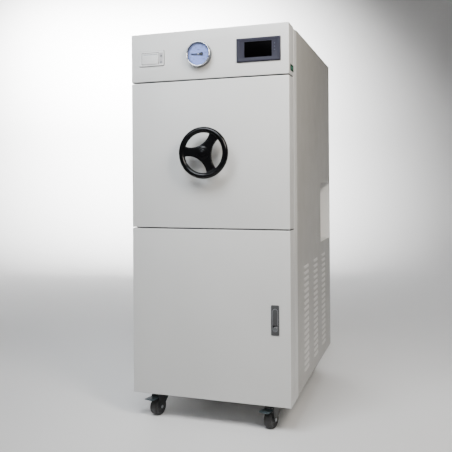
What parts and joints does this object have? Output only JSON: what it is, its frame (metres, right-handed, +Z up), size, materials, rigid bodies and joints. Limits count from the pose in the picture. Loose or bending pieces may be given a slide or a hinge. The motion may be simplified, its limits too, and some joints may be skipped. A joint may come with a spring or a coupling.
{
  "type": "floor-standing autoclave",
  "caption": "Sheet-steel steam steriliser cabinet on braked castors, with a handwheel-locked chamber door, a service door, a pressure gauge, a printer and a display.",
  "frame": {"origin": "on the floor, under the centre of the bounding box", "axes": "+X to the right seen from the front, +Y to the rear, +Z up"},
  "size_m": [0.5926, 0.9294, 1.395],
  "materials": {
    "paint": "light warm-grey powder coat, semi-matt",
    "frame": "grey structural paint",
    "stainless": "brushed stainless steel",
    "cast": "machined cast steel",
    "zinc": "zinc plated steel",
    "brass": "plain brass fitting",
    "chrome": "bright chrome",
    "handwheel_black": "glossy black moulded phenolic",
    "rubber": "black castor tread",
    "castor_metal": "black painted pressed steel",
    "pedal": "dark slate pedal",
    "silicone": "off-white silicone seal",
    "dial": "pale blue-grey printed dial",
    "needle": "black pointer",
    "glass": "clear window",
    "white_plastic": "off-white moulded plastic",
    "dark_plastic": "dark blue-grey moulded plastic",
    "screen": "black display window",
    "lock_plastic": "dark grey moulded plastic",
    "motor": "blue-grey motor enamel"
  },
  "bodies": {
    "cabinet": {"base_frame": "frame", "front_frame": "paint", "side_panel_right": "paint", "side_panel_left": "paint", "rear_panel": "paint", "top_panel": "paint", "service_niche": "paint", "control_panel": "paint", "upper_hinge_fixed": "zinc", "lower_hinge_fixed": "zinc", "gauge_case": "chrome", "gauge_dial": "dial", "gauge_glass": "glass", "printer_housing": "white_plastic", "hmi_bezel": "dark_plastic", "hmi_screen": "screen", "chamber_vessel": "stainless", "locking_ring": "cast", "door_gasket": "silicone", "chamber_cradle": "frame", "tray_rack": "stainless", "steam_generator": "stainless", "water_tank": "white_plastic", "vacuum_pump": "motor", "safety_valve": "brass", "control_electronics": "zinc", "drain_outlet": "brass", "power_cable_gland": "lock_plastic"},
    "gauge_pointer": {"gauge_needle": "needle"},
    "printer_flap": {"printer_door": "white_plastic"},
    "feed_key": {"feed_button": "dark_plastic"},
    "chamber_door": {"door_cover": "paint", "pressure_door": "stainless", "upper_hinge_moving": "zinc"},
    "handwheel_shaft": {"handwheel": "handwheel_black", "handwheel_spindle": "zinc"},
    "bar_right": {"locking_bar_1": "stainless"},
    "bar_top": {"locking_bar_2": "stainless"},
    "bar_left": {"locking_bar_3": "stainless"},
    "bar_bottom": {"locking_bar_4": "stainless"},
    "lower_door": {"service_door": "paint", "lower_hinge_moving": "zinc", "lock_plate": "lock_plastic"},
    "pull_lever": {"lock_lever": "lock_plastic"},
    "release_button": {"lock_button": "chrome"},
    "latch_cam": {"lock_cam": "zinc"},
    "sliding_tray_lower": {"tray_lower": "stainless"},
    "sliding_tray_upper": {"tray_upper": "stainless"},
    "castor_swivel_front_left": {"castor_fork_front_left": "castor_metal"},
    "castor_roller_front_left": {"castor_wheel_front_left": "rubber"},
    "castor_pedal_front_left": {"castor_brake_front_left": "pedal"},
    "castor_swivel_rear_left": {"castor_fork_rear_left": "castor_metal"},
    "castor_roller_rear_left": {"castor_wheel_rear_left": "rubber"},
    "castor_pedal_rear_left": {"castor_brake_rear_left": "pedal"},
    "castor_swivel_front_right": {"castor_fork_front_right": "castor_metal"},
    "castor_roller_front_right": {"castor_wheel_front_right": "rubber"},
    "castor_pedal_front_right": {"castor_brake_front_right": "pedal"},
    "castor_swivel_rear_right": {"castor_fork_rear_right": "castor_metal"},
    "castor_roller_rear_right": {"castor_wheel_rear_right": "rubber"},
    "castor_pedal_rear_right": {"castor_brake_rear_right": "pedal"}
  },
  "joints": [
    {"name": "chamber_door_hinge", "type": "hinge", "parent": "cabinet", "child": "chamber_door", "pos_m": [-0.2925, -0.33575, 0], "axis": [0, 0, -1], "range_deg": [0, 105]},
    {"name": "handwheel_turn", "type": "hinge", "parent": "chamber_door", "child": "handwheel_shaft", "pos_m": [0, -0.41025, 0.959], "axis": [0, 1, 0], "range_deg": [0, 270]},
    {"name": "bar_right_slide", "type": "slide", "parent": "chamber_door", "child": "bar_right", "axis": [1, 0, 0], "range_m": [0, 0.02]},
    {"name": "bar_top_slide", "type": "slide", "parent": "chamber_door", "child": "bar_top", "axis": [0, 0, 1], "range_m": [0, 0.02]},
    {"name": "bar_left_slide", "type": "slide", "parent": "chamber_door", "child": "bar_left", "axis": [-1, 0, 0], "range_m": [0, 0.02]},
    {"name": "bar_bottom_slide", "type": "slide", "parent": "chamber_door", "child": "bar_bottom", "axis": [0, 0, -1], "range_m": [0, 0.02]},
    {"name": "service_door_hinge", "type": "hinge", "parent": "cabinet", "child": "lower_door", "pos_m": [-0.2925, -0.33575, 0], "axis": [0, 0, -1], "range_deg": [0, 110]},
    {"name": "lever_pull", "type": "hinge", "parent": "lower_door", "child": "pull_lever", "pos_m": [0.2392, -0.41125, 0.4198], "axis": [-1, 0, 0], "range_deg": [0, 38]},
    {"name": "release_button_press", "type": "slide", "parent": "lower_door", "child": "release_button", "axis": [0, 1, 0], "range_m": [0, 0.003], "stiffness_N_per_m": 300},
    {"name": "latch_cam_turn", "type": "hinge", "parent": "lower_door", "child": "latch_cam", "pos_m": [0.2392, -0.32675, 0.38875], "axis": [0, -1, 0], "range_deg": [0, 90]},
    {"name": "pointer_turn", "type": "hinge", "parent": "cabinet", "child": "gauge_pointer", "pos_m": [-0.0255, -0.41025, 1.306], "axis": [0, 1, 0], "range_deg": [-40, 230]},
    {"name": "printer_flap_hinge", "type": "hinge", "parent": "cabinet", "child": "printer_flap", "pos_m": [-0.2165, -0.41525, 1.2845], "axis": [1, 0, 0], "range_deg": [0, 80]},
    {"name": "feed_key_press", "type": "slide", "parent": "cabinet", "child": "feed_key", "axis": [0, 1, 0], "range_m": [0, 0.0015], "stiffness_N_per_m": 300},
    {"name": "tray_lower_slide", "type": "slide", "parent": "cabinet", "child": "sliding_tray_lower", "axis": [0, -1, 0], "range_m": [0, 0.025]},
    {"name": "tray_upper_slide", "type": "slide", "parent": "cabinet", "child": "sliding_tray_upper", "axis": [0, -1, 0], "range_m": [0, 0.025]},
    {"name": "swivel_front_left", "type": "hinge", "parent": "cabinet", "child": "castor_swivel_front_left", "pos_m": [-0.215, -0.32425, 0.095], "axis": [0, 0, 1], "continuous": true},
    {"name": "roll_front_left", "type": "hinge", "parent": "castor_swivel_front_left", "child": "castor_roller_front_left", "pos_m": [-0.22225, -0.3513, 0.0315], "axis": [0.9659, -0.2588, 0], "continuous": true},
    {"name": "brake_front_left", "type": "hinge", "parent": "castor_swivel_front_left", "child": "castor_pedal_front_left", "pos_m": [-0.22691, -0.36868, 0.069], "axis": [0.9659, -0.2588, 0], "range_deg": [0, 12]},
    {"name": "swivel_rear_left", "type": "hinge", "parent": "cabinet", "child": "castor_swivel_rear_left", "pos_m": [-0.215, 0.37875, 0.095], "axis": [0, 0, 1], "continuous": true},
    {"name": "roll_rear_left", "type": "hinge", "parent": "castor_swivel_rear_left", "child": "castor_roller_rear_left", "pos_m": [-0.22225, 0.3517, 0.0315], "axis": [0.9659, -0.2588, 0], "continuous": true},
    {"name": "brake_rear_left", "type": "hinge", "parent": "castor_swivel_rear_left", "child": "castor_pedal_rear_left", "pos_m": [-0.22691, 0.33432, 0.069], "axis": [0.9659, -0.2588, 0], "range_deg": [0, 12]},
    {"name": "swivel_front_right", "type": "hinge", "parent": "cabinet", "child": "castor_swivel_front_right", "pos_m": [0.215, -0.32425, 0.095], "axis": [0, 0, 1], "continuous": true},
    {"name": "roll_front_right", "type": "hinge", "parent": "castor_swivel_front_right", "child": "castor_roller_front_right", "pos_m": [0.20775, -0.3513, 0.0315], "axis": [0.9659, -0.2588, 0], "continuous": true},
    {"name": "brake_front_right", "type": "hinge", "parent": "castor_swivel_front_right", "child": "castor_pedal_front_right", "pos_m": [0.20309, -0.36868, 0.069], "axis": [0.9659, -0.2588, 0], "range_deg": [0, 12]},
    {"name": "swivel_rear_right", "type": "hinge", "parent": "cabinet", "child": "castor_swivel_rear_right", "pos_m": [0.215, 0.37875, 0.095], "axis": [0, 0, 1], "continuous": true},
    {"name": "roll_rear_right", "type": "hinge", "parent": "castor_swivel_rear_right", "child": "castor_roller_rear_right", "pos_m": [0.20775, 0.3517, 0.0315], "axis": [0.9659, -0.2588, 0], "continuous": true},
    {"name": "brake_rear_right", "type": "hinge", "parent": "castor_swivel_rear_right", "child": "castor_pedal_rear_right", "pos_m": [0.20309, 0.33432, 0.069], "axis": [0.9659, -0.2588, 0], "range_deg": [0, 12]}
  ],
  "couplings": [
    {"joint": "bar_right_slide", "follows": "handwheel_turn", "m_per_rad": 0.0042441},
    {"joint": "bar_top_slide", "follows": "handwheel_turn", "m_per_rad": 0.0042441},
    {"joint": "bar_left_slide", "follows": "handwheel_turn", "m_per_rad": 0.0042441},
    {"joint": "bar_bottom_slide", "follows": "handwheel_turn", "m_per_rad": 0.0042441}
  ]
}
